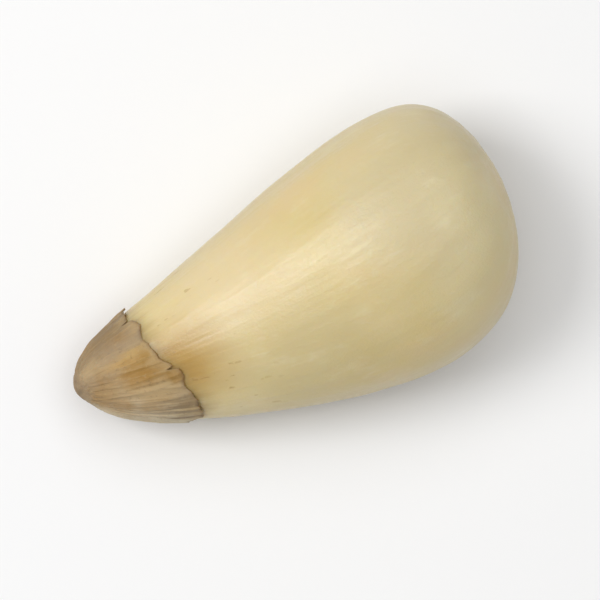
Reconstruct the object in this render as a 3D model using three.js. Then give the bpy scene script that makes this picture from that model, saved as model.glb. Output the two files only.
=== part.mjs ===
// A shelled pine nut, lying on its side: one pale, oily kernel with a drop's outline, and the scrap
// of brown inner skin that still hoods its tip. Millimetres, +Z up. The tip points along -X and the
// blunt end along +X. The origin is on the surface that the nut lies on, under the middle of its box.
import * as THREE from "three";
import { mergeVertices } from "three/addons/utils/BufferGeometryUtils.js";

const { degToRad, smoothstep } = THREE.MathUtils;

// Driving dimensions of the kernel
const LENGTH = 12.7;
const WIDTH = 6.95;
const THICKNESS = 6.0;
const SWELL = 1.62; // how much fuller the blunt end is than the tip
const SWELL_POWER = 1.85; // how late along the length it swells
const BLUNTNESS = 0.064; // how much rounder both ends are than an ellipsoid's
const BEND = 2.6; // how strongly the middle line curves to one side
const BEND_CENTRE = 0.52; // share of the length where that curve is flattest
const RIDGE = 0.028; // height of the three soft long ridges, as a share of the radius
const RIDGE_ANGLE = degToRad(72); // the top ridge, measured from +Y towards +Z
const WAVES = [
  { reach: [3.1, 2.0, -1.2], start: 0.7, height: 0.009 },
  { reach: [-2.2, 3.6, 2.7], start: 2.1, height: 0.007 },
  { reach: [5.3, -2.9, 3.3], start: 4.0, height: 0.005 },
]; // the broad, shallow unevenness of a grown seed, as shares of the radius

// How the nut lies
const REST_TILT = degToRad(8.5); // the light tip hangs lower than the blunt end
const SPOT_DEPTH = 0.14; // how far the resting flat is pressed into the round belly

// Driving dimensions of the hood of brown skin
const HOOD_REACH = 0.185; // mean share of the length that it covers, from the tip
const HOOD_SLANT = 0.022; // how much further it reaches on one side
const HOOD_SLANT_ANGLE = degToRad(120); // that side, measured from +Y towards +Z
const RAGS = [
  { turns: 2, start: -2.44, depth: 0.014 },
  { turns: 3, start: 0.6, depth: 0.007 },
  { turns: 7, start: 2.3, depth: 0.006 },
  { turns: 13, start: 4.4, depth: 0.004 },
]; // the torn outline of the hood, as shares of the length
const SKIN_GAP = 0.02; // the air between kernel and skin
const SKIN_THICKNESS = 0.07;
const NIB_THICKNESS = 0.16; // the skin bunches up at the very tip
const NIB_END = 0.3; // share of the way from the tip to the edge where it is thin again
const RIM_LIFT = 0.015; // the dry edge curls off the kernel
const RIM_START = 0.7; // share of that way where the curl starts
const FOLDS = [
  { turns: 8, start: 0.4, height: 0.014 },
  { turns: 13, start: 2.2, height: 0.01 },
]; // the long, soft folds of the drying skin
const FOLD_START = 0.1; // shares of that way between which the folds rise
const FOLD_FULL = 0.7;

// How finely the surfaces are divided
const KERNEL_SQUARES = 24; // along each edge of the cube that is blown up into the kernel
const HOOD_RINGS = 12;
const HOOD_SPOKES = 66;
const PROFILE_STEPS = 400; // along the length, to find the widest place
const NORMAL_STEP = 1e-3; // in a unit direction, to find the surface's slope

const KERNEL_COLOUR = 0xe2cf9c;
const SKIN_COLOUR = 0x9c7440;
const KERNEL_ROUGHNESS = 0.42;
const SKIN_ROUGHNESS = 0.75;

// How full the nut is at a share of its length, before it is brought to the stated width.
function swelling(share) {
  return 1 + SWELL * share ** SWELL_POWER;
}

// The largest half width of a unit ball that swells so, found by stepping along it.
function widestPlace() {
  let widest = 0;
  for (let i = 1; i < PROFILE_STEPS; i++) {
    const share = i / PROFILE_STEPS;
    const round = 2 * Math.sqrt(share * (1 - share));
    widest = Math.max(widest, round * swelling(share));
  }
  return widest;
}

const WIDEST = widestPlace();

// Three soft ridges along the nut. They are a cubic in y and z, so they fade out at both ends.
function ridges(d) {
  const cosine = d.y ** 3 - 3 * d.y * d.z ** 2;
  const sine = 3 * d.y ** 2 * d.z - d.z ** 3;
  const turn = 3 * RIDGE_ANGLE;
  return RIDGE * (cosine * Math.cos(turn) + sine * Math.sin(turn));
}

function waves(d) {
  let sum = 0;
  for (const { reach, start, height } of WAVES) {
    sum += height * Math.sin(reach[0] * d.x + reach[1] * d.y + reach[2] * d.z + start);
  }
  return sum;
}

// The kernel's surface in a unit direction from its middle. The tip is along -X.
function kernelPoint(d) {
  const share = (1 + d.x) / 2;
  const radius = (swelling(share) / WIDEST) * (1 + ridges(d)) * (1 + waves(d));
  const along = d.x + BLUNTNESS * (d.x - d.x ** 3);
  const bend = BEND * (share - BEND_CENTRE) ** 2;
  return new THREE.Vector3(
    (along * LENGTH) / 2,
    (d.y * radius * WIDTH) / 2 + bend,
    (d.z * radius * THICKNESS) / 2,
  );
}

// The outward normal there, from a short step each way across and along the surface.
function kernelNormal(d) {
  const helper = Math.abs(d.x) < 0.9 ? new THREE.Vector3(1, 0, 0) : new THREE.Vector3(0, 0, 1);
  const across = new THREE.Vector3().crossVectors(d, helper).normalize();
  const along = new THREE.Vector3().crossVectors(d, across);
  const slope = (way) => {
    const ahead = kernelPoint(d.clone().addScaledVector(way, NORMAL_STEP).normalize());
    const behind = kernelPoint(d.clone().addScaledVector(way, -NORMAL_STEP).normalize());
    return ahead.sub(behind);
  };
  return slope(across).cross(slope(along)).normalize();
}

// The kernel: a finely divided cube whose points are pushed out onto the nut's surface.
function kernelGeometry() {
  const cube = new THREE.BoxGeometry(2, 2, 2, KERNEL_SQUARES, KERNEL_SQUARES, KERNEL_SQUARES);
  cube.deleteAttribute("normal");
  cube.deleteAttribute("uv");
  const body = mergeVertices(cube);
  const places = body.getAttribute("position");
  const d = new THREE.Vector3();
  const evened = (value) => Math.tan((value * Math.PI) / 4); // keeps the squares alike once round
  for (let i = 0; i < places.count; i++) {
    d.fromBufferAttribute(places, i);
    d.set(evened(d.x), evened(d.y), evened(d.z)).normalize();
    const point = kernelPoint(d);
    places.setXYZ(i, point.x, point.y, point.z);
  }
  return body;
}

// How far the hood reaches, as a share of the nut's length, at an angle round the tip.
function hoodReach(angle) {
  let reach = HOOD_REACH + HOOD_SLANT * Math.cos(angle - HOOD_SLANT_ANGLE);
  for (const { turns, start, depth } of RAGS) {
    reach += depth * Math.sin(turns * angle + start);
  }
  return reach;
}

// The unit direction at an angle round the tip, a share of the way out from it to the hood's edge.
function hoodDirection(out, angle) {
  const opening = out * Math.acos(1 - 2 * hoodReach(angle));
  const wide = Math.sin(opening);
  return new THREE.Vector3(-Math.cos(opening), wide * Math.cos(angle), wide * Math.sin(angle));
}

// How far the skin stands off the kernel there.
function hoodLift(out, angle) {
  let lift = SKIN_GAP + RIM_LIFT * smoothstep(out, RIM_START, 1);
  for (const { turns, start, height } of FOLDS) {
    const crest = (1 + Math.cos(turns * angle + start)) / 2;
    lift += height * crest * smoothstep(out, FOLD_START, FOLD_FULL);
  }
  return lift;
}

// The hood's outer and inner points there.
function hoodPoints(out, angle) {
  const d = hoodDirection(out, angle);
  const normal = kernelNormal(d);
  const bunched = 1 - smoothstep(out, 0, NIB_END);
  const thickness = SKIN_THICKNESS + (NIB_THICKNESS - SKIN_THICKNESS) * bunched;
  const inner = kernelPoint(d).addScaledVector(normal, hoodLift(out, angle));
  const outer = inner.clone().addScaledVector(normal, thickness);
  return [outer, inner];
}

// The hood: an outer and an inner cap of rings round the tip, joined along the torn edge. Each
// place on it has two points, the outer one first.
function hoodGeometry() {
  const points = hoodPoints(0, 0);
  for (let ring = 1; ring <= HOOD_RINGS; ring++) {
    for (let spoke = 0; spoke < HOOD_SPOKES; spoke++) {
      points.push(...hoodPoints(ring / HOOD_RINGS, (2 * Math.PI * spoke) / HOOD_SPOKES));
    }
  }
  const outer = (ring, spoke) => 2 + 2 * ((ring - 1) * HOOD_SPOKES + (spoke % HOOD_SPOKES));
  const inner = (ring, spoke) => outer(ring, spoke) + 1;
  const triangles = [];
  for (let spoke = 0; spoke < HOOD_SPOKES; spoke++) {
    const next = spoke + 1;
    triangles.push(0, outer(1, next), outer(1, spoke));
    triangles.push(1, inner(1, spoke), inner(1, next));
    for (let ring = 1; ring < HOOD_RINGS; ring++) {
      const wider = ring + 1;
      triangles.push(outer(ring, spoke), outer(ring, next), outer(wider, next));
      triangles.push(outer(ring, spoke), outer(wider, next), outer(wider, spoke));
      triangles.push(inner(ring, spoke), inner(wider, next), inner(ring, next));
      triangles.push(inner(ring, spoke), inner(wider, spoke), inner(wider, next));
    }
    triangles.push(outer(HOOD_RINGS, spoke), outer(HOOD_RINGS, next), inner(HOOD_RINGS, next));
    triangles.push(outer(HOOD_RINGS, spoke), inner(HOOD_RINGS, next), inner(HOOD_RINGS, spoke));
  }
  const body = new THREE.BufferGeometry().setFromPoints(points);
  body.setIndex(triangles);
  return body;
}

// Lays both pieces down: tips them, drops them onto the surface and presses the belly flat there.
function layDown(kernel, hood) {
  for (const piece of [kernel, hood]) {
    piece.rotateY(-REST_TILT);
    piece.computeBoundingBox();
  }
  const box = kernel.boundingBox.clone().union(hood.boundingBox);
  const middle = box.getCenter(new THREE.Vector3());
  for (const piece of [kernel, hood]) {
    piece.translate(-middle.x, -middle.y, -box.min.z - SPOT_DEPTH);
  }
  const places = kernel.getAttribute("position");
  for (let i = 0; i < places.count; i++) {
    places.setZ(i, Math.max(0, places.getZ(i)));
  }
}

function namedPiece(name, geometry, color, roughness) {
  const finish = new THREE.MeshStandardMaterial({ color, roughness, metalness: 0 });
  const piece = new THREE.Mesh(geometry, finish);
  piece.name = name;
  return piece;
}

const kernel = kernelGeometry();
const hood = hoodGeometry();
layDown(kernel, hood);

const pineNut = new THREE.Group();
pineNut.add(namedPiece("kernel", kernel, KERNEL_COLOUR, KERNEL_ROUGHNESS));
pineNut.add(namedPiece("skin_hood", hood, SKIN_COLOUR, SKIN_ROUGHNESS));

export default pineNut;
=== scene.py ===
# %% [markdown]
# # A shelled pine nut, seen close up
#
# One shelled pine nut lies on a pale table: an oily, cream-coloured kernel shaped like a drop, with a
# scrap of brown, papery inner skin still hooding its narrow tip. A solid model holds its size, its form
# and the way it rests. This lesson adds what makes it look real: fine relief, colour, sheen and light.
#
# Each detailed piece takes the place of one solid piece and keeps its form. So the solids are loaded
# first, and their box is noted to measure against at the end.

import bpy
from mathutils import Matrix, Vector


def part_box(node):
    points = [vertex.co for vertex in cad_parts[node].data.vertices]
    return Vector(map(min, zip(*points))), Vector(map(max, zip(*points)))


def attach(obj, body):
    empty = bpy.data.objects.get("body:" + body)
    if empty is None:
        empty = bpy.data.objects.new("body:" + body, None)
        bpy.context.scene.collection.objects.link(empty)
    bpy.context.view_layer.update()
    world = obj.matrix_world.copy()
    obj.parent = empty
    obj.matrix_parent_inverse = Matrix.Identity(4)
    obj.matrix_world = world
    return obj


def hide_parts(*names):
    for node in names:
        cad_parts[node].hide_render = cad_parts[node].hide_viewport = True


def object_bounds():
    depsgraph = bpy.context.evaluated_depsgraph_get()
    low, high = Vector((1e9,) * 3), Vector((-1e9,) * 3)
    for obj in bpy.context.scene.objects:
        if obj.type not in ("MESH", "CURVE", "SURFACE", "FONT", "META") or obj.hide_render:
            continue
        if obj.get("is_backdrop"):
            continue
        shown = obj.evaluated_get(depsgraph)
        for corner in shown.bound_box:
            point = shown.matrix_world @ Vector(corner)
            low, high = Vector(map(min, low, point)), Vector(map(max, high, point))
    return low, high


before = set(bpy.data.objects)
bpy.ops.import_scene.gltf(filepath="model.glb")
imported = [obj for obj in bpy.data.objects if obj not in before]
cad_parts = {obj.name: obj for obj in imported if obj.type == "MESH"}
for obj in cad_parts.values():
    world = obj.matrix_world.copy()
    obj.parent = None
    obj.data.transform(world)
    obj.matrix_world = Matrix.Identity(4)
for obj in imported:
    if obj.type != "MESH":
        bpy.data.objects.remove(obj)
solid_low, solid_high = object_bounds()
print("solid pieces:", sorted(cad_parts))
print("solid box in mm:", [round(side * 1000, 2) for side in solid_high - solid_low])

# %% [markdown]
# ## Tools
#
# A nut could be sculpted by hand with Blender's brushes, but a sculpture can't be asked for its numbers
# again. Here the shapes are worked out as long tables of points, which numpy handles quickly, and only
# then handed to Blender as meshes. Its noise and its vectors come from mathutils.

# %% Tools and units
import math

import bpy
import numpy as np
from mathutils import Matrix, Vector, noise

MM = 0.001  # Blender works in metres, and the nut's sizes are easier to read in millimetres
print("the nut is", round((solid_high.x - solid_low.x) / MM, 1), "mm long")

# %% [markdown]
# ## The kernel's form
#
# A pine kernel is a drop that has been bent a little and pressed a little flat. It could be turned as a
# profile and then bent with a modifier. Here a formula makes it, because a formula can be asked for any
# number of points: the same drop serves as a coarse solid and as a very fine surface.
#
# Every point is named by a direction from the middle of a unit ball, and the formula says where that
# point of the ball ends up on the nut. First come the sizes, then how full the drop is along its
# length, and then the formula itself.

# %% The kernel's driving sizes, in mm
LENGTH = 12.7
WIDTH = 6.95
THICKNESS = 6.0
SWELL = 1.62  # how much fuller the blunt end is than the tip
SWELL_POWER = 1.85  # how late along the length it swells
BLUNTNESS = 0.064  # how much rounder both ends are than an ellipsoid's
BEND = 2.6  # how strongly the middle line curves to one side
BEND_CENTRE = 0.52  # share of the length where that curve is flattest
RIDGE = 0.028  # height of the three soft long ridges, as a share of the radius
RIDGE_ANGLE = math.radians(72)  # the top ridge, measured from +Y towards +Z
WAVES = (
    ((3.1, 2.0, -1.2), 0.7, 0.009),
    ((-2.2, 3.6, 2.7), 2.1, 0.007),
    ((5.3, -2.9, 3.3), 4.0, 0.005),
)  # reach, start and height of the broad, shallow unevenness of a grown seed
print("the drop is", round(LENGTH / WIDTH, 2), "times as long as it is wide")

# %% How full the drop is along its length
PROFILE_STEPS = 400


def swelling(share):
    """How full the nut is at a share of its length, before it is brought to its width."""
    return 1 + SWELL * share**SWELL_POWER


profile = np.linspace(0, 1, PROFILE_STEPS + 1)
fullness = 2 * np.sqrt(profile * (1 - profile)) * swelling(profile)
WIDEST = fullness.max()
print("it is widest at a share of", round(float(profile[np.argmax(fullness)]), 3))


# %% Where each direction lands on the kernel
def kernel_points(d):
    """The kernel's surface, in mm, for rows of unit directions. The tip is along -X."""
    x, y, z = d.T
    share = np.clip((1 + x) / 2, 0, 1)
    turn = 3 * RIDGE_ANGLE
    ridges = (y**3 - 3 * y * z**2) * math.cos(turn) + (3 * y**2 * z - z**3) * math.sin(turn)
    waves = sum(h * np.sin(r[0] * x + r[1] * y + r[2] * z + start) for r, start, h in WAVES)
    radius = swelling(share) / WIDEST * (1 + RIDGE * ridges) * (1 + waves)
    along = x + BLUNTNESS * (x - x**3)
    bend = BEND * (share - BEND_CENTRE) ** 2
    return np.column_stack(
        (along * LENGTH / 2, y * radius * WIDTH / 2 + bend, z * radius * THICKNESS / 2)
    )


ends = kernel_points(np.array([[-1.0, 0.0, 0.0], [1.0, 0.0, 0.0]]))
print("tip at", ends[0].round(2), "and blunt end at", ends[1].round(2))

# %% [markdown]
# ## Which way the surface faces
#
# Furrows, dents and the skin all lie on the kernel at right angles to its surface, so each point has to
# know which way is out. Blender could average that from the faces of a mesh, but such an average is
# only as good as the net. The formula gives it exactly: two short steps on the surface, one along and
# one across, span its slope, and their cross product stands upright on it.

# %% Outward directions of the kernel
NORMAL_STEP = 1e-3
NEAR_POLE = 0.9  # how close to the X axis another helper direction is needed


def unit(rows):
    """The same directions, all of length 1."""
    return rows / np.linalg.norm(rows, axis=1, keepdims=True)


def kernel_normals(d):
    """The outward normals, from a short step each way across and along the surface."""
    helper = np.where(np.abs(d[:, :1]) < NEAR_POLE, [[1.0, 0.0, 0.0]], [[0.0, 0.0, 1.0]])
    across = unit(np.cross(d, helper))
    along = np.cross(d, across)
    slopes = [
        kernel_points(unit(d + way * NORMAL_STEP)) - kernel_points(unit(d - way * NORMAL_STEP))
        for way in (across, along)
    ]
    return unit(np.cross(*slopes))


print("the top faces", kernel_normals(np.array([[0.0, 0.0, 1.0]]))[0].round(2))

# %% [markdown]
# ## An even net of points
#
# The formula needs directions to work on. A ball made of rings has crowded poles, and fine relief looks
# pinched there. A cube whose faces are divided into squares and then blown up into a ball has no poles.
# Its six faces share the points along their edges, so each point gets one number and the surface stays
# closed. The tangent makes the squares near the cube's corners about as large as those in the middle.

# %% Blow a divided cube up into a ball
KERNEL_SQUARES = 124  # along each edge of the cube


def cube_corner(axis, side, a, b):
    """A point of the cube's grid: `side` along one axis, and a and b along the two others."""
    corner = (side, a, b)
    return corner[-axis:] + corner[:-axis]


def even_ball(squares):
    """Unit directions and four-cornered faces of a divided cube, blown up into a ball."""
    numbers = {}
    faces = []
    for axis in range(3):
        for side in (0, squares):
            for i in range(squares):
                for j in range(squares):
                    loop = [(i, j), (i + 1, j), (i + 1, j + 1), (i, j + 1)]
                    if side == 0:
                        loop.reverse()
                    corners = [cube_corner(axis, side, a, b) for a, b in loop]
                    faces.append([numbers.setdefault(corner, len(numbers)) for corner in corners])
    cube = np.array(list(numbers)) * 2 / squares - 1
    return unit(np.tan(cube * math.pi / 4)), faces


kernel_dirs, kernel_faces = even_ball(KERNEL_SQUARES)
kernel_base = kernel_points(kernel_dirs)
kernel_out = kernel_normals(kernel_dirs)
print("kernel net:", len(kernel_dirs), "points,", len(kernel_faces), "squares")

# %% [markdown]
# ## Where the brown skin ends
#
# The skin was rubbed off everywhere but at the tip, so its edge wanders. That edge could be drawn by
# hand as a curve on the nut. As a formula it can serve twice: it says how far the hood reaches from the
# tip for each angle round the nut, and it tells the kernel where it is stained, because it lies close
# to the skin, and where it has no scratches, because it lies beneath.

# %% The hood's reach round the tip
HOOD_REACH = 0.185  # mean share of the length that it covers, from the tip
HOOD_SLANT = 0.022  # how much further it reaches on one side
HOOD_SLANT_ANGLE = math.radians(120)  # that side, measured from +Y towards +Z
RAGS = (
    (2, -2.44, 0.014),
    (3, 0.6, 0.007),
    (7, 2.3, 0.006),
    (13, 4.4, 0.004),
)  # turns, start and depth of the torn outline, as shares of the length


def hood_reach(angle):
    """The share of the length that the hood covers, at an angle from +Y towards +Z."""
    reach = HOOD_REACH + HOOD_SLANT * np.cos(angle - HOOD_SLANT_ANGLE)
    for turns, start, depth in RAGS:
        reach = reach + depth * np.sin(turns * angle + start)
    return reach


def past_hood(d):
    """How far beyond the hood's edge each direction lies, in mm along the nut."""
    angle = np.arctan2(d[:, 2], d[:, 1])
    return ((1 + d[:, 0]) / 2 - hood_reach(angle)) * LENGTH


kernel_past = past_hood(kernel_dirs)
print("share of the kernel's points under the hood:", round(float((kernel_past < 0).mean()), 3))

# %% [markdown]
# ## Noise in millimetres
#
# Relief on a grown thing is irregular, but irregular at a certain size: a furrow is about a millimetre
# wide, the grain a tenth of that. A displacement modifier with a noise texture would do the same job,
# but its result is out of reach until it is applied. Noise that is read point by point can be mixed,
# measured and printed. It changes over a distance of 1, so places are divided by the size that is
# wanted. Stretched along the nut, the same noise gives lines.

# %% Helpers for uneven values
def wavering(places, size, stretch=1.0, seed=0.0):
    """Noise, about -1 to 1, that changes over `size` mm, and over `stretch` times that along X."""
    scaled = places / np.array([size * stretch, size, size]) + seed
    return np.array([noise.noise(Vector(place)) for place in scaled.tolist()])


def eased(value, start, end):
    """0 before start, 1 after end, and a soft step between them."""
    t = np.clip((value - start) / (end - start), 0, 1)
    return t * t * (3 - 2 * t)


sample = wavering(kernel_base[::50], size=1.0)
print("noise from", round(float(sample.min()), 2), "to", round(float(sample.max()), 2))

# %% [markdown]
# ## Lines that run from tip to blunt end
#
# The fine furrows and veins of the kernel all start at the tip and fan out over the nut. Noise that is
# stretched along X would stay parallel instead, and run off the sides of the drop. So every point gets
# a second place: as far along, but on an even tube round the nut's axis. Noise read there follows the
# drop as it widens. Close to the two ends the tube closes evenly, so that the lines don't pinch.

# %% Places on an even tube
FAN_RADIUS = 3.0  # in mm, about that of the nut
POLE = 0.35  # share of the ball's radius within which the tube closes


def fanned(d):
    """Where lines are measured: along the nut, and round it on one even tube."""
    off_axis = np.hypot(d[:, 1], d[:, 2])
    tube = FAN_RADIUS / np.maximum(off_axis, POLE)
    return np.column_stack((d[:, 0] * LENGTH / 2, d[:, 1] * tube, d[:, 2] * tube))


kernel_fan = fanned(kernel_dirs)
closing = np.hypot(kernel_dirs[:, 1], kernel_dirs[:, 2]) < POLE
print("share of the points where the tube closes:", round(float(closing.mean()), 3))

# %% [markdown]
# ## Furrows, lumps and grain
#
# A kernel looks smooth from a step away, but its sheen breaks up over shallow furrows, soft lumps and a
# grain too fine to count. Bump in a material would shade them the same way, but it would leave the
# outline dead straight and be lost wherever the mesh is used without that material. So all but the
# finest grain is real relief, a few hundredths of a millimetre high.

# %% Mix the relief, in mm
FURROW_HEIGHT = 0.023
NARROW_FURROW_HEIGHT = 0.012
LUMP_HEIGHT = 0.019
GRAIN_HEIGHT = 0.006

relief = FURROW_HEIGHT * wavering(kernel_fan, size=0.9, stretch=6.0, seed=3.1)
relief += NARROW_FURROW_HEIGHT * wavering(kernel_fan, size=0.38, stretch=9.0, seed=11.4)
relief += LUMP_HEIGHT * wavering(kernel_base, size=0.9, stretch=1.4, seed=31.0)
relief += GRAIN_HEIGHT * wavering(kernel_fan, size=0.15, stretch=7.0, seed=21.0)
print("relief from", round(float(relief.min()), 3), "to", round(float(relief.max()), 3), "mm")

# %% [markdown]
# ## Dents and nicks
#
# Cracking the hard shell and rubbing off the skin leave marks on the soft kernel: round, shallow dents,
# and short nicks that mostly follow its length. They could be pressed in by hand with a brush. Here
# each one is a small bell-shaped hollow at a random point, which takes one line for all of them. The
# random numbers start from a fixed seed, so every run makes the same nut.

# %% Press in the dents
DENTS = 34
DENT_RADIUS = (0.25, 0.8)
DENT_DEPTH = (0.008, 0.030)
DENT_SHAPE = (0.6, 1, 1)  # a dent is longer along the nut than across it
DENT_STEEPNESS = 2  # how quickly its wall rises
rng = np.random.default_rng(7)

for _ in range(DENTS):
    centre = kernel_base[rng.integers(len(kernel_base))]
    radius = rng.uniform(*DENT_RADIUS)
    depth = rng.uniform(*DENT_DEPTH)
    away = np.linalg.norm((kernel_base - centre) * DENT_SHAPE, axis=1) / radius
    relief -= depth * np.exp(-DENT_STEEPNESS * away**2)
print("with dents, the lowest place is", round(float(relief.min()), 3), "mm")

# %% Scratch in the nicks
NICKS = 22
NICK_SLANT = 0.5  # how far a nick may turn away from the nut's length
NICK_WIDTH = (0.07, 0.13)
NICK_LENGTH = (0.25, 0.8)
NICK_DEPTH = (0.006, 0.014)
NICK_LIMIT = 2  # in mm, so that a nick leaves no mark on the far side

for _ in range(NICKS):
    spot = rng.integers(len(kernel_base))
    heading = np.array([1.0, *rng.uniform(-NICK_SLANT, NICK_SLANT, 2)])
    sideways = np.cross(kernel_out[spot], heading / np.linalg.norm(heading))
    offset = kernel_base - kernel_base[spot]
    across = offset @ sideways / rng.uniform(*NICK_WIDTH)
    along = offset @ heading / rng.uniform(*NICK_LENGTH)
    close = np.linalg.norm(offset, axis=1) < NICK_LIMIT
    relief -= close * rng.uniform(*NICK_DEPTH) * np.exp(-(across**2) - along**2)
print("with nicks, the lowest place is", round(float(relief.min()), 3), "mm")

# %% Keep the kernel smooth beneath the skin
RELIEF_START = 0.05  # in mm beyond the hood's edge
RELIEF_FULL = 0.9

relief *= eased(kernel_past, RELIEF_START, RELIEF_FULL)
kernel_mm = kernel_base + kernel_out * relief[:, None]
print("points with relief:", int((relief != 0).sum()))

# %% [markdown]
# ## Lay the nut down
#
# The formula makes the nut level, with its middle at zero. The real one rests on its belly, with the
# light tip a little lower. Dropping it with a physics simulation would find that place too, but a
# little differently in each version of Blender. So it is turned by the solid's angle and moved until
# its box meets the solid's box, and what would sink into the table is pressed flat, as on the solid.

# %% Turn the nut and set it where the solid lies
REST_TILT = math.radians(8.5)


def tipped(rows):
    """Rows of points, turned so that the tip along -X hangs lower."""
    x, y, z = rows.T
    cosine, sine = math.cos(REST_TILT), math.sin(REST_TILT)
    return np.column_stack((x * cosine - z * sine, y, x * sine + z * cosine))


kernel_low, kernel_high = (np.array(corner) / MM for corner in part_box("kernel"))
level = tipped(kernel_base)
to_table = (kernel_low + kernel_high) / 2 - (level.min(0) + level.max(0)) / 2
to_table[2] = kernel_high[2] - level[:, 2].max()
print("moved by, in mm:", np.round(to_table, 3))


# %% From the nut's own millimetres to the table
def laid_down(rows):
    """Points in the nut's own frame, in mm, as they lie on the table, in metres."""
    placed = tipped(rows) + to_table
    placed[:, 2] = np.maximum(placed[:, 2], 0)
    return placed * MM


pressed = laid_down(kernel_mm)[:, 2] == 0
print("points pressed flat against the table:", int(pressed.sum()))

# %% [markdown]
# ## Make the kernel
#
# Points and faces become a mesh, and the mesh an object. Smooth shading hides the small facets, where
# still more points would only make the file heavy.
#
# The material will need to know more about each point than its place: where it lay on the plain drop,
# where it is on the even tube, how far it is from the skin's edge, and how much it faces the sky. Such
# things could be painted on an image, which needs an unwrapped mesh and has seams. Kept on the points
# as attributes they need neither, and the colours stay put however the nut is turned.

# %% A Blender object from points and faces
def new_piece(name, points, faces, **kept_values):
    """A smooth-shaded mesh object. Each kept value stays on the points for the material to read."""
    mesh = bpy.data.meshes.new(name)
    mesh.from_pydata(points.tolist(), [], faces)
    mesh.shade_smooth()
    for key, rows in kept_values.items():
        single = rows.ndim == 1
        layer = mesh.attributes.new(key, "FLOAT" if single else "FLOAT_VECTOR", "POINT")
        layer.data.foreach_set("value" if single else "vector", rows.astype(np.float32).ravel())
    piece = bpy.data.objects.new(name, mesh)
    bpy.context.scene.collection.objects.link(piece)
    print(name, "has", len(mesh.polygons), "faces")
    return piece


# %% The kernel, in place of its solid
kernel = new_piece(
    "pine_kernel",
    laid_down(kernel_mm),
    kernel_faces,
    own=kernel_base,
    fan=kernel_fan,
    past_hood=kernel_past,
    # how much each point faces the sky, read by the flesh's painted shade on the flanks
    skyward=tipped(kernel_out)[:, 2],
)
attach(kernel, "root")
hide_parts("kernel")

# %% [markdown]
# ## The hood of brown skin
#
# The skin is thinner than paper and has dried onto the tip in long folds. A cloth simulation could
# crumple a sheet over the tip, but the skin never was loose: it grew there. So it is built as a cap
# that follows the kernel, with a ragged edge, lifted off the flesh in folds, and given a thickness.
# Each of these has a step of its own.
#
# ## The torn edge
#
# The skin's fibres run from tip to blunt end, and it tears more easily along them than across. So the
# edge is ragged at three sizes: the broad rags that the solid has too, fibres a few hundredths of a
# millimetre apart, and a few narrow tears that run back towards the tip. A cut-out image could give
# such an edge, but not its thickness and not the shadow beneath it.

# %% Fibres and tears along the edge
HOOD_SPOKES = 420
FIBRES = ((0.0035, 0.09, 5.0), (0.002, 0.03, 9.0))  # depth as a share of the length, size and seed
TEARS = 9
TEAR_WIDTH = (0.02, 0.06)  # in radians round the tip
TEAR_DEPTH = (0.008, 0.026)  # as a share of the nut's length
TEAR_TAPER = 1.5  # a tear is narrower at its end
tear_rng = np.random.default_rng(21)
tears = [
    (tear_rng.uniform(0, 2 * math.pi), tear_rng.uniform(*TEAR_WIDTH), tear_rng.uniform(*TEAR_DEPTH))
    for _ in range(TEARS)
]


def torn_reach(angle):
    """The hood's reach with frayed fibres and a few narrow tears."""
    reach = hood_reach(angle)
    ring = np.column_stack((np.cos(angle), np.sin(angle), 0 * angle))
    for depth, size, seed in FIBRES:
        reach = reach + depth * wavering(ring, size, seed=seed)
    for centre, width, depth in tears:
        off = np.abs((angle - centre + math.pi) % (2 * math.pi) - math.pi)
        reach = reach - depth * np.clip(1 - off / width, 0, 1) ** TEAR_TAPER
    return reach


spokes = np.arange(HOOD_SPOKES) * 2 * math.pi / HOOD_SPOKES
edge_reach = torn_reach(spokes)
nearest, farthest = (round(float(share) * LENGTH, 2) for share in (edge_reach.min(), edge_reach.max()))
print("the edge lies", nearest, "to", farthest, "mm from the tip")

# %% [markdown]
# ## Rings over the tip
#
# The cap is laid out like an umbrella: spokes from the tip to the torn edge, crossed by rings. The
# kernel's even net could be cut along the edge instead, but its squares would be cut through at every
# angle. With spokes, each one simply ends at the edge, and each place knows how far out it is, from 0
# at the tip to 1 at the edge.

# %% Rings of directions over the tip
HOOD_RINGS = 56

ring_share = np.linspace(0, 1, HOOD_RINGS + 1)[1:]
out_way = np.concatenate(([0.0], np.repeat(ring_share, HOOD_SPOKES)))
angle_way = np.concatenate(([0.0], np.tile(spokes, HOOD_RINGS)))
reach_way = np.concatenate(([edge_reach[0]], np.tile(edge_reach, HOOD_RINGS)))
opening = out_way * np.arccos(1 - 2 * reach_way)
hood_dirs = np.column_stack(
    (-np.cos(opening), np.sin(opening) * np.cos(angle_way), np.sin(opening) * np.sin(angle_way))
)
hood_base = kernel_points(hood_dirs)
hood_out = kernel_normals(hood_dirs)
hood_fan = fanned(hood_dirs)
print("the hood has", len(hood_dirs), "places")

# %% [markdown]
# ## Curl, folds and creases
#
# As the skin dried it shrank, and stood off the kernel where it couldn't follow. Its edge curls up in
# some places and clings in others, soft folds run to the tip, and sharp little creases cross them. Each
# could be a mesh of its own or a sculpted stroke. But all of them come down to one number for each
# place, how far the skin is lifted off the kernel, so they can simply be added up.

# %% The lift of the curled edge and the folds, in mm
SKIN_GAP = 0.02  # the air between kernel and skin
RIM_LIFT = 0.015
RIM_START = 0.7  # share of the way from the tip to the edge
CURL_MEAN = 0.6
CURL_SWING = 5.0
FOLDS = ((8, 0.4, 0.014), (13, 2.2, 0.010))  # turns, start and height
FOLD_START = 0.1
FOLD_FULL = 0.7

round_way = np.column_stack((np.cos(angle_way), np.sin(angle_way), 0 * angle_way))
curl = np.clip(CURL_MEAN + CURL_SWING * wavering(round_way, size=0.35, seed=61.0), 0, CURL_SWING)
lift = SKIN_GAP + RIM_LIFT * curl * eased(out_way, RIM_START, 1)
for turns, start, height in FOLDS:
    lift += height * (1 + np.cos(turns * angle_way + start)) / 2 * eased(out_way, FOLD_START, FOLD_FULL)
print("lifted by", round(float(lift.max()), 3), "mm at most")

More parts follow.
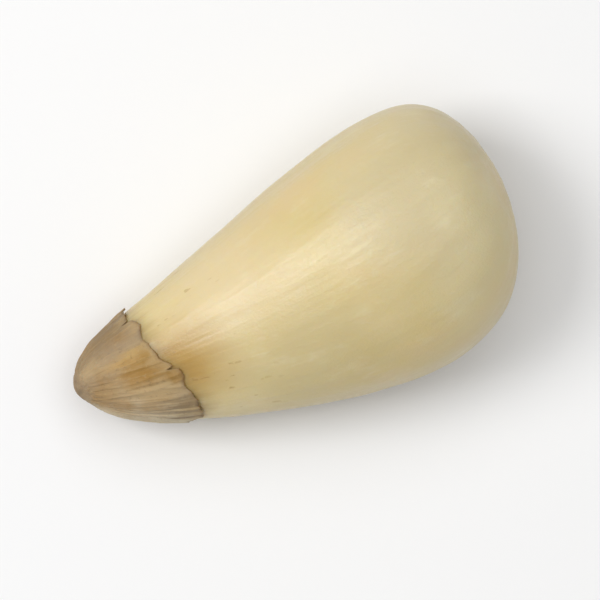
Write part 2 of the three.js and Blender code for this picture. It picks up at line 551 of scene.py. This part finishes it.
# %% Wrinkles, crumpling and creases, in mm
WRINKLE_HEIGHT = 0.018
CRUMPLE_HEIGHT = 0.018
CREASE_HEIGHT = 0.022
CREASE_WIDTH = 0.25  # how far off zero the noise may be to count as a crease
FINE_START = 0.05
FINE_FULL = 0.4
LEAST_LIFT = 0.008

fine = WRINKLE_HEIGHT * wavering(hood_fan, size=0.30, stretch=5.0, seed=41.0)
fine += CRUMPLE_HEIGHT * wavering(hood_base, size=0.26, stretch=1.3, seed=47.0)
creases = 1 - np.abs(wavering(hood_fan, size=0.42, stretch=4.0, seed=53.0)) / CREASE_WIDTH
fine += CREASE_HEIGHT * np.clip(creases, 0, 1)
lift = np.maximum(lift + fine * eased(out_way, FINE_START, FINE_FULL), LEAST_LIFT)
print("lifted by", round(float(lift.min()), 3), "to", round(float(lift.max()), 3), "mm")

# %% [markdown]
# ## A sheet with two faces
#
# The skin is bunched up and thick at the very tip, an even film over the shoulder, and frayed to almost
# nothing at its torn edge. Blender's Solidify modifier thickens a single surface, but evenly. Here the
# thickness differs from place to place, so both faces are worked out: the inner one from the lift, and
# the outer one a thickness further out.

# %% Thickness and the two faces, in mm
SKIN_THICKNESS = 0.07
EDGE_THICKNESS = 0.018
EDGE_START = 0.6  # share of the way out where the skin begins to thin
NIB_THICKNESS = 0.16
NIB_END = 0.3  # share of the way out where the bunched skin ends

thickness = SKIN_THICKNESS + (EDGE_THICKNESS - SKIN_THICKNESS) * eased(out_way, EDGE_START, 1)
thickness += (NIB_THICKNESS - SKIN_THICKNESS) * (1 - eased(out_way, 0, NIB_END))
inner_mm = hood_base + hood_out * lift[:, None]
outer_mm = inner_mm + hood_out * thickness[:, None]
print("from", round(float(thickness.min()), 3), "to", round(float(thickness.max()), 3), "mm thick")

# %% [markdown]
# ## Close the sheet
#
# Each face of the skin is a fan of triangles round the tip and rings of squares out to the edge. The
# inner face is the same, wound the other way, so that both face outward. A last strip of squares joins
# them along the torn edge. Without it the mesh would be two open shells, which can't be printed or
# weighed.

# %% Faces of one side of the sheet
spoke = np.arange(HOOD_SPOKES)
after = (spoke + 1) % HOOD_SPOKES


def cap_faces(tip):
    """One side of the sheet, wound to face outward: a fan round the tip, then rings of squares."""
    first = tip + 1
    rows = np.column_stack((np.full(HOOD_SPOKES, tip), first + after, first + spoke)).tolist()
    for ring in range(HOOD_RINGS - 1):
        here = first + ring * HOOD_SPOKES
        wider = here + HOOD_SPOKES
        rows += np.column_stack((here + spoke, here + after, wider + after, wider + spoke)).tolist()
    return rows


print("faces on one side:", len(cap_faces(0)))

# %% The hood, in place of its solid
side_points = len(hood_dirs)
outer_edge = 1 + (HOOD_RINGS - 1) * HOOD_SPOKES
inner_edge = side_points + outer_edge
edge_strip = np.column_stack(
    (outer_edge + spoke, outer_edge + after, inner_edge + after, inner_edge + spoke)
)
inner_faces = [face[::-1] for face in cap_faces(side_points)]
hood = new_piece(
    "papery_hood",
    laid_down(np.concatenate((outer_mm, inner_mm))),
    cap_faces(0) + inner_faces + edge_strip.tolist(),
    out=np.tile(out_way, 2),
    own=np.tile(hood_base, (2, 1)),
    fan=np.tile(hood_fan, (2, 1)),
)
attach(hood, "root")
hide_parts("skin_hood")

# %% [markdown]
# ## Painting with nodes
#
# A material could be painted by hand on an image. Here it is built from nodes instead: noise in the
# nut's own millimetres, ramps that turn noise into strength, and tints laid over each other like thin
# washes of paint. Nothing has to be unwrapped, the detail never runs out of pixels, and every number
# can be changed later. These small helpers keep the washes readable.

# %% Colours, materials and sockets
def srgb(red, green, blue):
    """A colour as a photo editor shows it, 0 to 255, turned into the linear colour that nodes use."""
    shares = [value / 255 for value in (red, green, blue)]
    linear = [s / 12.92 if s <= 0.04045 else ((s + 0.055) / 1.055) ** 2.4 for s in shares]
    return (*linear, 1.0)


def new_finish(name):
    """A material that is made of nodes."""
    finish = bpy.data.materials.new(name)
    finish.use_nodes = True
    return finish


def add(finish, kind, **settings):
    """A new node in a material."""
    made = finish.node_tree.nodes.new(kind)
    for key, value in settings.items():
        setattr(made, key, value)
    return made


def feed(finish, socket, item):
    """Gives a socket a number, a colour or the output of another node."""
    if isinstance(item, bpy.types.NodeSocket):
        finish.node_tree.links.new(item, socket)
    else:
        socket.default_value = item


print("a mid grey of 128 is", round(srgb(128, 128, 128)[0], 3), "to a node")


# %% Places and noise
def kept(finish, name, field="Fac"):
    """A value that is kept on the mesh's points."""
    return add(finish, "ShaderNodeAttribute", attribute_name=name).outputs[field]


def drawn_out(finish, place, along):
    """Places squeezed along the nut, so that noise read there comes out long."""
    made = add(finish, "ShaderNodeMapping")
    feed(finish, made.inputs["Scale"], (along, 1.0, 1.0))
    feed(finish, made.inputs["Vector"], place)
    return made.outputs["Vector"]


def mottle(finish, place, scale, detail=3.0, roughness=0.5):
    """Cloudy noise from 0 to 1, mostly 0.3 to 0.7, with `scale` clouds to the millimetre."""
    made = add(finish, "ShaderNodeTexNoise")
    for key, item in (("Scale", scale), ("Detail", detail), ("Roughness", roughness), ("Vector", place)):
        feed(finish, made.inputs[key], item)
    return made.outputs["Fac"]


print("made kept, drawn_out and mottle")

# %% Ramps and sums
NOISE_LOW = 0.3
NOISE_HIGH = 0.7


def ramp(finish, source, start, full, at_start=0.0, at_full=1.0, soft=True):
    """Maps start..full onto at_start..at_full, and holds the ends beyond. It may run downward."""
    made = add(finish, "ShaderNodeMapRange", interpolation_type="SMOOTHSTEP" if soft else "LINEAR")
    ends = {"From Min": start, "From Max": full, "To Min": at_start, "To Max": at_full, "Value": source}
    for key, item in ends.items():
        feed(finish, made.inputs[key], item)
    return made.outputs["Result"]


def ripple(finish, noisy, swing):
    """Noise as a swing each way, to make an edge or a value uneven."""
    return ramp(finish, noisy, NOISE_LOW, NOISE_HIGH, -swing, swing, soft=False)


def worked(finish, operation, first, second):
    """Two values put together by a sum or a product."""
    made = add(finish, "ShaderNodeMath", operation=operation)
    for socket, item in zip(made.inputs, (first, second)):
        feed(finish, socket, item)
    return made.outputs["Value"]


def plus(finish, first, second):
    """One value added to another."""
    return worked(finish, "ADD", first, second)


def times(finish, first, second):
    """One value weakened by another."""
    return worked(finish, "MULTIPLY", first, second)


print("made ramp, ripple, plus and times")


# %% Tints, washes and patches
PATCH_CORE = 0.2  # share of a patch's radius within which the tint is full


def tinted(finish, colour, tint, share):
    """A colour with another laid over it, from not at all, 0, to fully, 1."""
    made = add(finish, "ShaderNodeMix", data_type="RGBA")
    colour_inputs = [socket for socket in made.inputs if socket.type == "RGBA"]
    for socket, item in zip((made.inputs["Factor"], *colour_inputs), (share, colour, tint)):
        feed(finish, socket, item)
    return next(socket for socket in made.outputs if socket.type == "RGBA")


def washed(finish, colour, tint, source, start, full, strength=1.0):
    """A colour with a thin wash of a tint that comes up as the source goes from start to full."""
    return tinted(finish, colour, tint, ramp(finish, source, start, full, at_full=strength))


def patched(finish, colour, place, ragged, tint, share, turn, radius, ragged_by, strength=1.0):
    """A colour with one soft patch, at a share of the length and an angle from +Y towards +Z."""
    angle = math.radians(turn)
    spot = ((share - 0.5) * LENGTH, FAN_RADIUS * math.cos(angle), FAN_RADIUS * math.sin(angle))
    made = add(finish, "ShaderNodeVectorMath", operation="DISTANCE")
    feed(finish, made.inputs[0], place)
    feed(finish, made.inputs[1], spot)
    away = plus(finish, made.outputs["Value"], ripple(finish, ragged, ragged_by))
    inside = ramp(finish, away, radius, radius * PATCH_CORE)
    return tinted(finish, colour, tint, times(finish, inside, strength))


print("made tinted, washed and patched")


# %% Finest relief, and the shader's own sockets
def bumped(finish, height, distance, under=None):
    """Shading of relief too fine for the mesh, laid over an earlier one."""
    made = add(finish, "ShaderNodeBump")
    feed(finish, made.inputs["Distance"], distance)
    feed(finish, made.inputs["Height"], height)
    if under is not None:
        feed(finish, made.inputs["Normal"], under)
    return made.outputs["Normal"]


def shade(finish, **settings):
    """Feeds the shader. A word in a setting's name is a word in the socket's name."""
    inputs = finish.node_tree.nodes["Principled BSDF"].inputs
    for key, item in settings.items():
        feed(finish, inputs[key.replace("_", " ")], item)


print("made bumped and shade")

# %% [markdown]
# ## The kernel's ground colour
#
# Pine flesh is cream, but not evenly: butter yellow and a little rosy in broad, soft patches. One flat
# colour would look like plastic, and brush strokes would look painted. Two washes of very soft noise, a
# few millimetres across, are laid over the cream, the second drawn out a little along the nut, as the
# flesh grew.

# %% Cream, butter and blush
CREAM = srgb(213, 197, 152)
BUTTER = srgb(209, 190, 131)
BLUSH = srgb(215, 191, 145)

flesh = new_finish("pine_flesh")
own = kept(flesh, "own", "Vector")
broad = mottle(flesh, own, scale=0.28, detail=2.0)
patches = mottle(flesh, drawn_out(flesh, own, along=0.7), scale=0.42)
colour = washed(flesh, CREAM, BUTTER, broad, start=0.38, full=0.66, strength=0.8)
colour = washed(flesh, colour, BLUSH, patches, start=0.50, full=0.72, strength=0.6)
print("nodes so far:", len(flesh.node_tree.nodes))

# %% [markdown]
# ## Veins along the nut
#
# Pale streaks and finer, darker threads run from tip to blunt end, just under the surface. A wave
# texture would give lines too, but as regular as on a comb. These are noise on the even tube, squeezed
# along it to a seventh, so they fan out from the tip as the furrows do. Both are faint: they should
# show in the sheen first and only then in the colour.

# %% Pale streaks and dark threads
PALE = srgb(220, 209, 168)
OLIVE = srgb(194, 178, 128)

fan = kept(flesh, "fan", "Vector")
lengthwise = drawn_out(flesh, fan, along=0.14)
streaks = mottle(flesh, lengthwise, scale=2.4, detail=4.0, roughness=0.6)
threads = mottle(flesh, lengthwise, scale=7.0, detail=4.0, roughness=0.6)
colour = washed(flesh, colour, PALE, streaks, start=0.42, full=0.80, strength=0.22)
colour = washed(flesh, colour, OLIVE, threads, start=0.50, full=0.80, strength=0.06)
print("nodes so far:", len(flesh.node_tree.nodes))

# %% [markdown]
# ## Patches in their places
#
# Noise alone puts its patches anywhere. This nut has some of its own: a rosy shoulder, paler as well
# where the highlight falls, so partly a painted highlight; a greyer place near the blunt end with two
# paler ones beside it, the pale ones painted light on the end that faces away from the key lamp; and a
# duller olive patch on the belly side, partly painted shade. They could be painted on the points by
# hand. Instead each is a soft round patch at a named spot, its border made uneven by noise that is
# there already, so a patch can be moved by changing two numbers. The flanks are a shade duller than the
# top as well, a painted shade where they turn away from the sky and the lamps, and the kept value for
# facing the sky tells where they are.

# %% Shoulder, blunt end, belly side and flanks, with painted highlight, light and shade
ROSY_HIGHLIGHT = srgb(222, 203, 162)
PAINTED_FLANK_SHADE = srgb(196, 178, 138)
SAGE = srgb(196, 184, 148)
FLESH_PATCHES = (
    # Rosy shoulder: partly a rosy tone, partly a painted highlight.
    dict(tint=ROSY_HIGHLIGHT, share=0.36, turn=52, radius=3.2, ragged_by=0.8, strength=0.60),
    dict(tint=SAGE, share=0.87, turn=68, radius=4.4, ragged_by=0.8, strength=0.60),
    # Two pale patches on the blunt end: painted light where it turns from the key lamp.
    dict(tint=PALE, share=0.85, turn=148, radius=3.0, ragged_by=0.8, strength=0.45),
    dict(tint=PALE, share=0.98, turn=95, radius=2.4, ragged_by=0.6, strength=0.55),
    # Olive belly side: partly an olive tone, partly painted shade.
    dict(tint=OLIVE, share=0.48, turn=128, radius=2.8, ragged_by=0.6, strength=0.50),
)

for spot in FLESH_PATCHES:
    colour = patched(flesh, colour, fan, patches, **spot)
# The flanks: painted shade, duller where a point faces less of the sky.
skyward = kept(flesh, "skyward")
colour = washed(flesh, colour, PAINTED_FLANK_SHADE, skyward, start=0.74, full=-0.1, strength=0.55)
print("nodes so far:", len(flesh.node_tree.nodes))

# %% [markdown]
# ## What the skin left behind
#
# Where the brown skin lay, its colour soaked into the flesh: yellow some way off, tan just beyond the
# edge, brown beneath it. One hard-edged brown area would look like a label. The distance to the edge is
# kept on every point, so each stain is a wash over that distance, and the streaks make it creep further
# along the veins. One patch beside the hood soaked up more than the rest.

# %% Stains beside and beneath the skin
TOFFEE = srgb(178, 142, 72)
STAIN = srgb(162, 130, 76)

past = kept(flesh, "past_hood")
creeping = plus(flesh, past, ripple(flesh, streaks, swing=0.20))
colour = washed(flesh, colour, BUTTER, creeping, start=2.2, full=-0.1, strength=0.45)
soaked = dict(tint=TOFFEE, share=0.18, turn=97, radius=2.55, ragged_by=0.4, strength=0.90)
colour = patched(flesh, colour, fan, patches, **soaked)
colour = washed(flesh, colour, STAIN, creeping, start=0.60, full=-0.35, strength=0.80)
print("nodes so far:", len(flesh.node_tree.nodes))

# %% [markdown]
# ## Scuffs and crumbs
#
# Rubbing leaves chalky, dry scuffs where the oil is gone, and crumbs of skin stay behind near the tip.
# Both could be scattered by hand, one by one. Noise scatters them too: a scuff is worn noise, broken up
# by the threads, and a crumb is where finer noise comes to a peak, with its border torn by a rougher
# one. Only the highest peaks count, so there are few, and fewer still far from the hood.

# %% Chalky scuffs
CHALK = srgb(228, 220, 192)
CHALK_STRENGTH = 0.32

worn = mottle(flesh, drawn_out(flesh, own, along=0.5), scale=0.9, detail=4.0, roughness=0.65)
broken = ramp(flesh, threads, start=0.36, full=0.66, at_start=0.35)
scuffs = times(flesh, ramp(flesh, worn, start=0.54, full=0.72), broken)
colour = tinted(flesh, colour, CHALK, times(flesh, scuffs, CHALK_STRENGTH))
print("nodes so far:", len(flesh.node_tree.nodes))

# %% Crumbs of skin
CRUMB_STRENGTH = 0.6
CRUMBS_END = 3.2  # in mm beyond the hood's edge
CRUMBS_FULL = 0.3

torn = mottle(flesh, own, scale=11.0, detail=4.0, roughness=0.7)
scraps = mottle(flesh, drawn_out(flesh, fan, along=0.5), scale=4.4, detail=1.0)
peaks = plus(flesh, scraps, ripple(flesh, torn, swing=0.05))
near_hood = ramp(flesh, past, start=CRUMBS_END, full=CRUMBS_FULL)
crumbs = times(flesh, ramp(flesh, peaks, start=0.69, full=0.75), near_hood)
colour = tinted(flesh, colour, STAIN, times(flesh, crumbs, CRUMB_STRENGTH))
shade(flesh, Base_Color=colour)
print("nodes so far:", len(flesh.node_tree.nodes))

# %% [markdown]
# ## The kernel's sheen
#
# A film of the kernel's own oil gives it a broad, soft highlight. One even roughness would make that
# highlight look computed, so the streaks, the pores and the dry scuffs each shift it a little. Relief
# too fine for the mesh, a hundredth of a millimetre, is left to bump, where more points would only
# make the mesh heavy. A thin clear coat stands for the oil.

# %% Roughness, finest relief and oil
SCUFF_DULLNESS = 0.2  # how much rougher a dry scuff is

pores = mottle(flesh, own, scale=9.0, roughness=0.6)
streaked = ramp(flesh, streaks, NOISE_LOW, NOISE_HIGH, at_start=0.34, at_full=0.50)
pored = ramp(flesh, pores, NOISE_LOW, NOISE_HIGH, at_start=-0.05, at_full=0.05)
dullness = plus(flesh, plus(flesh, streaked, pored), times(flesh, scuffs, SCUFF_DULLNESS))
thread_relief = bumped(flesh, threads, distance=0.011 * MM)
pore_relief = bumped(flesh, pores, distance=0.010 * MM, under=thread_relief)
shade(flesh, Roughness=dullness, Normal=pore_relief, IOR=1.46, Coat_Weight=0.15, Coat_Roughness=0.24)
print("nodes so far:", len(flesh.node_tree.nodes))

# %% [markdown]
# ## Light inside the flesh
#
# Pine flesh is slightly see-through. Light enters it, wanders for up to a millimetre and comes out
# warmer, which softens every shadow and makes the nut look like food and not like stone. A paler colour
# would only imitate that on the lit side. Subsurface scattering really lets the light wander, red
# furthest. Its distances have to be real ones: set ten times larger, the nut would look like a candle.

# %% Subsurface scattering
FLESH_DEPTH = 1.0 * MM  # how far red light wanders

shade(
    flesh,
    Subsurface_Weight=0.7,
    Subsurface_Radius=(1.0, 0.68, 0.34),
    Subsurface_Scale=FLESH_DEPTH,
)
kernel.data.materials.append(flesh)
print("the kernel's material has", len(flesh.node_tree.nodes), "nodes")

# %% [markdown]
# ## The skin's ground colour
#
# The dried skin is brown, but golden where it is stretched thin over the lit shoulder, paler on either
# side of that and beside the tip, darker where it is folded double, and a pale ash grey low on one
# flank, partly its own colour and partly painted light that lifts the shade there. A single brown with
# bump would look like clay. The same two means serve as on the kernel: soft noise for what may lie
# anywhere, and placed patches for what this nut shows. They are laid on in order, so the gold covers
# the inner borders of the paler places beside it.

# %% Brown, with patches of its own
BROWN = srgb(153, 130, 99)
TAN = srgb(184, 158, 116)
HONEY = srgb(188, 152, 90)
GOLDEN = srgb(150, 110, 38)
ASH_AND_PAINTED_LIGHT = srgb(204, 187, 156)
UMBER = srgb(126, 103, 68)

skin = new_finish("pine_skin")
skin_own = kept(skin, "own", "Vector")
skin_fan = kept(skin, "fan", "Vector")
fibres = mottle(skin, drawn_out(skin, skin_fan, along=0.16), scale=4.0, detail=5.0, roughness=0.65)
blots = mottle(skin, skin_own, scale=1.3)
SKIN_PATCHES = (
    dict(ragged=fibres, tint=TAN, share=0.03, turn=60, radius=1.2, ragged_by=0.4, strength=0.6),
    dict(ragged=fibres, tint=TAN, share=0.145, turn=107, radius=1.6, ragged_by=0.4, strength=0.8),
    dict(ragged=fibres, tint=HONEY, share=0.145, turn=75, radius=1.1, ragged_by=0.4, strength=0.8),
    dict(ragged=blots, tint=GOLDEN, share=0.176, turn=91, radius=1.4, ragged_by=0.35),
    # Pale ash grey low on one flank: partly its colour, partly painted light on the shaded side.
    dict(ragged=blots, tint=ASH_AND_PAINTED_LIGHT, share=0.12, turn=180, radius=3.4, ragged_by=0.6),
    dict(ragged=blots, tint=UMBER, share=0.11, turn=26, radius=1.6, ragged_by=0.6, strength=0.6),
    dict(ragged=fibres, tint=UMBER, share=0.21, turn=138, radius=1.3, ragged_by=0.5, strength=0.8),
)

tint = washed(skin, BROWN, GOLDEN, blots, start=0.40, full=0.66, strength=0.5)
for spot in SKIN_PATCHES:
    tint = patched(skin, tint, skin_fan, **spot)
print("nodes so far:", len(skin.node_tree.nodes))

# %% [markdown]
# ## Fibres and specks
#
# Close up, the skin is a mat of fibres that run to the tip, some pale, some dark, peppered with specks.
# Each fibre could be a hair of its own, but they are pressed flat and stuck together, so they are only
# drawn. The pale ones are the high half of one noise and the dark ones the low half, so they never
# cross. The specks share a finer noise in the same way.

# %% Pale and dark fibres and specks
DARK = srgb(100, 80, 55)

specks = mottle(skin, skin_own, scale=8.0, detail=4.0, roughness=0.7)
tint = washed(skin, tint, TAN, fibres, start=0.46, full=0.72, strength=0.45)
tint = washed(skin, tint, DARK, fibres, start=0.45, full=0.27, strength=0.50)
tint = washed(skin, tint, DARK, specks, start=0.55, full=0.70, strength=0.35)
tint = washed(skin, tint, TAN, specks, start=0.42, full=0.30, strength=0.30)
print("nodes so far:", len(skin.node_tree.nodes))

# %% [markdown]
# ## The skin's edge and its tip
#
# Towards the torn edge the skin thins out, and in places the pale flesh shows through as a tan fringe.
# The very edge is dry and dark, and its dark band is also painted shadow, for the shade beneath the
# lifted edge. At the other end, where the nut hung in its shell, the skin is bunched up and scarred.
# Real see-through skin would ask for much more of the renderer, for the same look. So both are washes
# over the way out from the tip, which is kept on the mesh.

# %% Fringe, edge and scarred tip
FRINGE_STRENGTH = 0.45
FRINGE_START = 0.84  # share of the way from the tip to the edge

out = kept(skin, "out")
near_edge = ramp(skin, out, start=FRINGE_START, full=1.0)
fringe = times(skin, near_edge, ramp(skin, blots, start=0.42, full=0.58))
tint = tinted(skin, tint, TAN, times(skin, fringe, FRINGE_STRENGTH))
# The dark edge: the dry edge's colour, and painted shadow of the lifted edge as well.
tint = washed(skin, tint, DARK, out, start=0.97, full=1.0, strength=0.30)
scar = mottle(skin, skin_own, scale=3.5, detail=4.0, roughness=0.6)
scarred = washed(skin, DARK, BROWN, scar, start=0.38, full=0.62)
tint = washed(skin, tint, scarred, out, start=0.34, full=0.12, strength=0.60)
print("nodes so far:", len(skin.node_tree.nodes))

# %% [markdown]
# ## A papery surface
#
# Dry skin has no oil: it is rough, and rougher where its fibres stand up. A sheen as on cloth would
# make it velvety, so roughness alone does it. Its fibres and specks are also its finest relief. A
# little light passes into it, since it is thin, but much less far than in the flesh.

# %% Roughness, fibres and a little light
SKIN_DEPTH = 0.25 * MM  # how far red light wanders

fibre_relief = bumped(skin, fibres, distance=0.02 * MM)
shade(
    skin,
    Base_Color=tint,
    Roughness=ramp(skin, fibres, NOISE_LOW, NOISE_HIGH, at_start=0.58, at_full=0.8),
    Normal=bumped(skin, specks, distance=0.012 * MM, under=fibre_relief),
    Subsurface_Weight=0.12,
    Subsurface_Radius=(1.0, 0.5, 0.25),
    Subsurface_Scale=SKIN_DEPTH,
)
hood.data.materials.append(skin)
print("the skin's material has", len(skin.node_tree.nodes), "nodes")

# %% [markdown]
# ## The table
#
# The nut needs something to lie on, so that its shadow says how it touches. A board or a plate would
# draw the eye. A plain, pale, matt table doesn't, and it reflects light up into the nut's flanks. It is
# far larger than the picture, so that its edge never shows, and it is marked as a stage, because it is
# no part of the nut.

# %% A pale table
TABLE_HALF = 0.4  # in metres
TABLE_CORNERS = np.array([(-1, -1, 0), (1, -1, 0), (1, 1, 0), (-1, 1, 0)])
TABLE_GREY = 0.88

table = new_piece("table", TABLE_CORNERS * TABLE_HALF, [(0, 1, 2, 3)])
table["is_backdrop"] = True
paint = new_finish("table_paint")
shade(paint, Base_Color=(TABLE_GREY, TABLE_GREY, TABLE_GREY, 1), Roughness=0.9)
table.data.materials.append(paint)

# %% [markdown]
# ## The camera
#
# The camera looks almost straight down, with the nut's axis rising to the right in the picture. A short
# lens close by would swell the middle of the nut and shrink its ends. An orthographic camera would
# show no depth at all. A long lens from far away keeps the drop's outline true, as in a close-up taken
# from a tripod.

# %% Directions of the picture, seen from the nut
AXIS_RISE = math.radians(28.5)  # the nut's long axis in the picture
LEAN = math.radians(8)  # how far off straight down the camera looks

right = Vector((math.cos(AXIS_RISE), -math.sin(AXIS_RISE), 0))
up = Vector((math.sin(AXIS_RISE), math.cos(AXIS_RISE), 0))
back = (Vector((0, 0, 1)) * math.cos(LEAN) - right * math.sin(LEAN)).normalized()
print("the camera stands towards", [round(value, 2) for value in back])

# %% Camera
LENS = 500  # in mm
VIEW_WIDTH = 16.2 * MM  # what the picture takes in across the nut
NEAREST = 0.01  # in metres

camera_data = bpy.data.cameras.new("camera")
camera_data.lens = LENS
camera_data.clip_start = NEAREST
camera = bpy.data.objects.new("camera", camera_data)
bpy.context.scene.collection.objects.link(camera)
bpy.context.scene.camera = camera
target = (solid_low + solid_high) / 2
distance = VIEW_WIDTH * LENS / camera_data.sensor_width
side = up.cross(back).normalized()
over = back.cross(side)
facing = Matrix((side, over, back)).transposed().to_4x4()
camera.matrix_world = Matrix.Translation(target + back * distance) @ facing
print("the camera is", round(distance, 3), "m away")

# %% [markdown]
# ## The light
#
# Two square lamps light the nut, as in a small studio. The key stands to the left and lays the soft
# highlight along the upper side of the drop. A lamp three times as wide hangs overhead and keeps the
# shadow gentle. A pale sky all round fills what is left. One small lamp alone would give a hard shadow,
# and the sky alone a flat nut.

# %% The lamps
overhead = Vector((0, 0, 1))


def soft_lamp(name, direction, size, energy, distance):
    """A square lamp that looks at the nut from a direction, with sizes in metres."""
    data = bpy.data.lights.new(name, "AREA")
    data.size = size
    data.energy = energy
    lamp = bpy.data.objects.new(name, data)
    way = direction.normalized()
    lamp.location = target + way * distance
    lamp.rotation_mode = "QUATERNION"
    lamp.rotation_quaternion = way.to_track_quat("Z", "Y")
    bpy.context.scene.collection.objects.link(lamp)
    print(name, "lamp at", [round(value, 3) for value in lamp.location])


key_way = overhead - right * 0.82 + up * 0.12
top_way = overhead - right * 0.10 + up * 0.20
soft_lamp("key", key_way, size=0.09, energy=0.23, distance=0.22)
soft_lamp("overhead", top_way, size=0.30, energy=0.38, distance=0.25)

# %% The sky and how its brightness is shown
SKY_STRENGTH = 0.32

world = bpy.data.worlds.new("sky")
world.use_nodes = True
sky = world.node_tree.nodes["Background"].inputs
sky["Color"].default_value = (1, 1, 1, 1)
sky["Strength"].default_value = SKY_STRENGTH
bpy.context.scene.world = world
bpy.context.scene.view_settings.view_transform = "Standard"
print("sky strength", SKY_STRENGTH)

# %% [markdown]
# ## Check the size
#
# The dressed nut should be as big as the solid, or it wouldn't fit where the solid fits. Relief and
# curl may add a hundredth of a millimetre or so, and that can't be judged by eye in a render. So both
# boxes are measured and printed side by side.

# %% Compare the two boxes
seen_low, seen_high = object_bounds()
for word, low, high in (("solid", solid_low, solid_high), ("dressed", seen_low, seen_high)):
    print(word, [round(value / MM, 3) for value in (*low, *high)])
